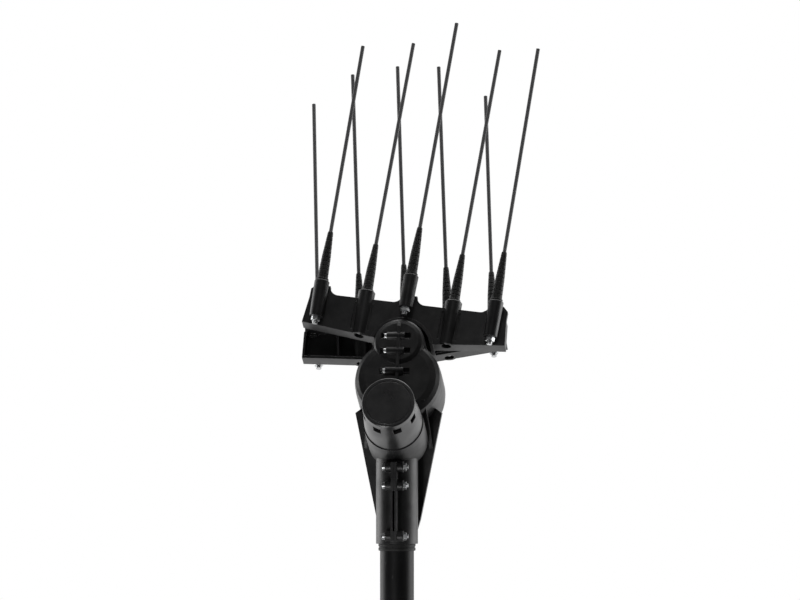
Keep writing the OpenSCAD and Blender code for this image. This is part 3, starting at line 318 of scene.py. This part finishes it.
# Handle: two moulded halves of filled nylon screwed together round the pole's lower end, with the
# trigger on a steel pin in a slot on the front and a shrouded inlet at the bottom.
dress(moulded("filled_nylon_handle", "#171718", "#212122", 0.9, 0.52), "handle_left", "handle_right")
dress(moulded("smooth_nylon_trigger", "#1d1d1e", "#28282a", 0.6, 0.4), "trigger")
dress(moulded("black_phenolic_inlet", "#141415", "#1d1d1f", 0.7, 0.36), "inlet_socket", "switch_body")
dress(moulded("red_acetal_button", "#7d1512", "#9c1f19", 0.5, 0.3), "switch_button")
ground_steel = bare_metal("ground_shaft_steel", "#8f9194", "#b3b5b8", 0.28, streak_mm=0.3)
dress(ground_steel, "trigger_pin", "trigger_spring", "rotor_shaft", "crank_shaft", "pivot_shaft")

# Trigger spring: a coil of hard-drawn steel wire between the trigger's foot and the switch body.
SPRING_R, SPRING_WIRE, SPRING_TURNS, SPRING_KEEP = 3.0, 0.45, 4, 0.66
SPRING_SIDES, SPRING_CREASE, HELIX_STEPS = 10, math.radians(50), 24


def turned(degrees, axis):
    """Turn about an axis as a 4 x 4 matrix."""
    return Matrix.Rotation(math.radians(degrees), 4, axis)


def helix(r, pitch, turns, wire_r, sides):
    """Wire of wire_r wound at radius r down from z = 0, closed at both ends, in millimetres."""
    bpy.ops.object.select_all(action="DESELECT")
    bpy.ops.mesh.primitive_circle_add(vertices=sides, radius=wire_r, rotation=(math.pi / 2, 0, 0))
    made = bpy.context.object
    made.location.x = r
    bpy.ops.object.transform_apply(location=True, rotation=True)
    wound = made.modifiers.new("wound", "SCREW")
    wound.axis = "Z"
    wound.iterations = turns
    wound.screw_offset = -pitch
    wound.steps = wound.render_steps = HELIX_STEPS
    bpy.ops.object.modifier_apply(modifier="wound")
    bpy.ops.object.mode_set(mode="EDIT")
    bpy.ops.mesh.select_all(action="SELECT")
    bpy.ops.mesh.fill_holes(sides=0)
    bpy.ops.mesh.normals_make_consistent(inside=False)
    bpy.ops.object.mode_set(mode="OBJECT")
    return made


low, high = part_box("trigger_spring")
spring_seat = Vector(((low[0] + high[0]) / 2, high[1], (low[2] + high[2]) / 2))
spring_long = (high[1] - low[1]) / MM - 2 * SPRING_WIRE
spring = helix(SPRING_R, spring_long / SPRING_TURNS, SPRING_TURNS, SPRING_WIRE, SPRING_SIDES)
spring.data.transform(Matrix.Translation(spring_seat) @ Matrix.Scale(MM, 4)
                      @ Matrix.Translation((0, -SPRING_WIRE, 0)) @ turned(-90, "X"))
spring.name = "trigger_coil_spring"
bpy.ops.object.shade_smooth_by_angle(angle=SPRING_CREASE)
spring.data.materials.append(ground_steel)
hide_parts("trigger_spring")
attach(spring, "frame")
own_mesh(spring)

# Fasteners: bright zinc-plated steel, cold-formed and rolled, with the studs, nuts, bolts and screws
# alike. The pins of the inlet and the thrust washers are plain bronze.
zinc_steel = bare_metal("bright_zinc_plated_steel", "#b9bbbd", "#dcdddd", 0.36, streak_mm=0.8)
dress(zinc_steel, "handle_screws", "case_screws", "clamp_bolts", "clamp_nuts", "near_nuts", "far_nuts",
      "near_studs", "far_studs")
bronze = bare_metal("plain_bronze", "#a8813f", "#c9a660", 0.3)
dress(bronze, "inlet_pins", "pivot_washers", "hub_washer")

# Head housing: two mirror halves of glass-filled nylon, spark-eroded grain, screwed together along
# the seam. It holds the gears, the comb pivot, the motor and the pole.
case_nylon = moulded("glass_filled_nylon_case", "#0f0f10", "#171718", 0.8, 0.42, 0.8)
dress(case_nylon, "left_shell", "right_shell")

# Motor: a smooth black can with vent slots and a bevelled end cap, pushed into the cradle. Inside are
# the magnets, the wound armature, the brushes, the bearings and the gear pair, seldom seen.
motor_black = moulded("smooth_black_motor_shell", "#131314", "#1c1c1d", 1.4, 0.32, 0.6, ior=1.62)
dress(motor_black, "motor_can", "motor_end_cap")
dress(bare_metal("turned_aluminium", "#8a8c8f", "#aaacae", 0.36, (1, 0.05, 1), 0.6), "motor_front_plate")
dress(bare_metal("sintered_ferrite", "#2c2c2f", "#3c3c40", 0.7), "motor_magnets")
bearing_steel = bare_metal("ground_bearing_steel", "#9a9c9e", "#bfc1c3", 0.2)
dress(bearing_steel, "motor_bearings", "crank_bearings", "near_roller", "far_roller", "pinion")
dress(moulded("brown_phenolic_board", "#5a3f26", "#6b4d30", 1.2, 0.6), "brush_ring", "terminal_block")
dress(moulded("pressed_carbon", "#1b1b1d", "#262628", 0.6, 0.5), "carbon_brushes")
dress(bare_metal("stacked_core_steel", "#4c4e51", "#62656a", 0.45, (1, 30, 1), 8.0), "armature_core")
dress(bare_metal("lacquered_copper", "#8f4a1f", "#b8692f", 0.33), "armature_windings", "commutator")
dress(moulded("natural_nylon_gear", "#c9c2ad", "#d9d3c0", 0.6, 0.42), "drive_gear")
sheath = rubber("flexible_lead_sheath", "#121212", "#1d1d1d", 0.5, 0.6, 0.02)
dress(sheath, "power_lead", "motor_wires")

# Combs: two like channels of filled nylon, hollow behind, each with an arch over the nose and
# five bosses for the rods. They are a little smoother than the case and swing on its pivot shaft.
comb_nylon = moulded("filled_nylon_comb", "#101011", "#19191a", 0.8, 0.4, 0.7)
dress(comb_nylon, "near_comb", "far_comb")

# Rods: pultruded carbon rods, satin dark grey, with fine fibre lines along them. Each is set in the
# steel stud of its boss and runs up through its boot.
ROD_LEAN = (math.radians(-24), 0, 0)
made, tree, shader, place = surface("pultruded_carbon_rod")
fibres = grain(tree, place, 0.5, 3.0, (1, 1, 0.03), ROD_LEAN)
clouds = grain(tree, place, 20, 3.0)
body = blended(tree, ramp(tree, fibres, 0.35, 0.7), linear("#4a4a4b"), linear("#5c5c5d"))
tree.links.new(body, shader.inputs["Base Color"])
tree.links.new(ramp(tree, clouds, 0.3, 0.7, 0.36, 0.5), shader.inputs["Roughness"])
bump = add(tree, "ShaderNodeBump", {"Height": fibres, "Strength": 0.3, "Distance": 0.04 * MM})
tree.links.new(bump.outputs[0], shader.inputs["Normal"])
for side in ("near", "far"):
    dress(made, *[f"{side}_rod_{k}" for k in range(1, 6)])

# Boots: moulded rubber sleeves pushed over each rod onto its boss, like strain reliefs. Each has a
# collar, a barrel taper parted into rings by shallow grooves, and a blunt tip.
HEAD_LEAN, SEAM_Y, SEAM_UP = 24.0, -32.0, 121.0
PIVOT_IN, PIVOT_UP = 55.6, 93.0
COMB_TURNS = {"near": 7.3, "far": -4.4}
ROD_PITCH = 44.65
COLLAR_UP = (58.5, 58.5, 74.0, 58.5, 58.5)
ROD_IN = (-40.4, -25.7, -44.2, -25.7, -40.4)
ROD_SPLAY = (5.5, 1.0, 2.3, 1.0, 5.5)
ROD_R, BOOT_LONG, BOOT_RINGS, BOOT_GROOVE = 1.9, 52.0, 11, 0.55
BOOT_COLLAR_R, BOOT_COLLAR, BOOT_EDGE, BOOT_ROUND = 6.3, 2.2, 0.3, 0.4
BOOT_FACETS, BOOT_CREASE = 32, math.radians(25)
BOOT_TAPER = ((0.0, 5.4), (0.45, 4.65), (0.85, 3.3), (1.0, 2.75))
GROOVE_SHARES = ((0.0, 1.0), (0.06, 0.0), (0.8, 0.0), (0.9, 0.6))


def at_rod(side, k):
    """Place of rod k of a comb: its collar, with the rod along +Z, in millimetres."""
    head = Matrix.Translation((0, SEAM_Y, SEAM_UP)) @ turned(-HEAD_LEAN, "X")
    comb = head @ Matrix.Translation((0, PIVOT_IN, PIVOT_UP)) @ turned(COMB_TURNS[side], "Y")
    if side == "far":
        comb = comb @ turned(180, "Z")
    spot = Matrix.Translation(((k - 2) * ROD_PITCH, ROD_IN[k], COLLAR_UP[k]))
    return comb @ spot @ turned(ROD_SPLAY[k], "X")


def boot_radius(share):
    """Radius of a boot without its grooves, at a share of its length."""
    for (low, r_low), (high, r_high) in zip(BOOT_TAPER, BOOT_TAPER[1:]):
        if share <= high:
            return r_low + (r_high - r_low) * (share - low) / (high - low)
    return BOOT_TAPER[-1][1]


def lathe(outline, facets):
    """Closed ring body of an outline of (radius, height), drawn up from its first point."""
    bpy.ops.object.select_all(action="DESELECT")
    radius, level = outline[0]
    bpy.ops.mesh.primitive_circle_add(vertices=facets, radius=radius, location=(0, 0, level))
    made = bpy.context.object
    bpy.ops.object.transform_apply(location=True)
    bpy.ops.object.mode_set(mode="EDIT")
    bpy.ops.mesh.select_all(action="SELECT")
    for r, z in outline[1:]:
        bpy.ops.mesh.extrude_region_move(TRANSFORM_OT_translate={"value": (0, 0, z - level)})
        bpy.ops.transform.resize(value=(r / radius, r / radius, 1), center_override=(0, 0, z))
        radius, level = r, z
    bpy.ops.mesh.select_all(action="SELECT")
    bpy.ops.mesh.region_to_loop()
    bpy.ops.mesh.bridge_edge_loops()
    bpy.ops.mesh.select_all(action="SELECT")
    bpy.ops.mesh.normals_make_consistent(inside=False)
    bpy.ops.object.mode_set(mode="OBJECT")
    return made


def joined(pieces, name):
    """Several pieces as one, under one name."""
    bpy.ops.object.select_all(action="DESELECT")
    for piece in pieces:
        piece.select_set(True)
    bpy.context.view_layer.objects.active = pieces[0]
    bpy.ops.object.join()
    pieces[0].name = name
    return pieces[0]


outline = [(ROD_R, 0.0), (BOOT_COLLAR_R - BOOT_EDGE, 0.0), (BOOT_COLLAR_R, BOOT_EDGE),
           (BOOT_COLLAR_R, BOOT_COLLAR - BOOT_ROUND), (BOOT_COLLAR_R - BOOT_ROUND, BOOT_COLLAR)]
for k in range(BOOT_RINGS):
    for along, sunk in GROOVE_SHARES:
        share = (k + along) / BOOT_RINGS
        outline.append((boot_radius(share) - sunk * BOOT_GROOVE,
                        BOOT_COLLAR + share * (BOOT_LONG - BOOT_COLLAR - BOOT_ROUND)))
outline += [(boot_radius(1.0), BOOT_LONG - BOOT_ROUND), (boot_radius(1.0) - BOOT_EDGE, BOOT_LONG),
            (ROD_R, BOOT_LONG)]
one_boot = lathe(outline, BOOT_FACETS)
boot_rubber = rubber("moulded_boot_rubber", "#131313", "#1e1e1e", 0.5, 0.7, 0.04)
for side in ("near", "far"):
    boots = []
    for k in range(5):
        boot = one_boot.copy()
        boot.data = one_boot.data.copy()
        bpy.context.collection.objects.link(boot)
        boot.data.transform(Matrix.Scale(MM, 4) @ at_rod(side, k))
        boots.append(boot)
    boots = joined(boots, f"{side}_ribbed_boots")
    bpy.ops.object.shade_smooth_by_angle(angle=BOOT_CREASE)
    boots.data.materials.append(boot_rubber)
    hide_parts(f"{side}_boots")
    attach(boots, f"{side}_comb")
    dress(boot_rubber, f"{side}_boots")
bpy.data.objects.remove(one_boot)

# Stud threads: below its nut each rod's steel stud keeps a rolled thread, seen as fine ridges.
# One sharp-crested helix per stud, joined into one piece per comb, which moves with that comb.
NUT_BELOW = (42.7, 42.7, 39.5, 42.7, 42.7)
STUD_R, THREAD_PITCH, THREAD_TURNS, THREAD_SUNK = 2.6, 0.8, 4, 0.16
for side in ("near", "far"):
    threads = []
    for k in range(5):
        thread = helix(STUD_R - THREAD_SUNK, THREAD_PITCH, THREAD_TURNS, THREAD_PITCH / 2, 3)
        below = Matrix.Translation((0, 0, -NUT_BELOW[k]))
        thread.data.transform(Matrix.Scale(MM, 4) @ at_rod(side, k) @ below)
        threads.append(thread)
    threads = joined(threads, f"{side}_stud_threads")
    threads.data.materials.append(zinc_steel)
    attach(threads, f"{side}_comb")
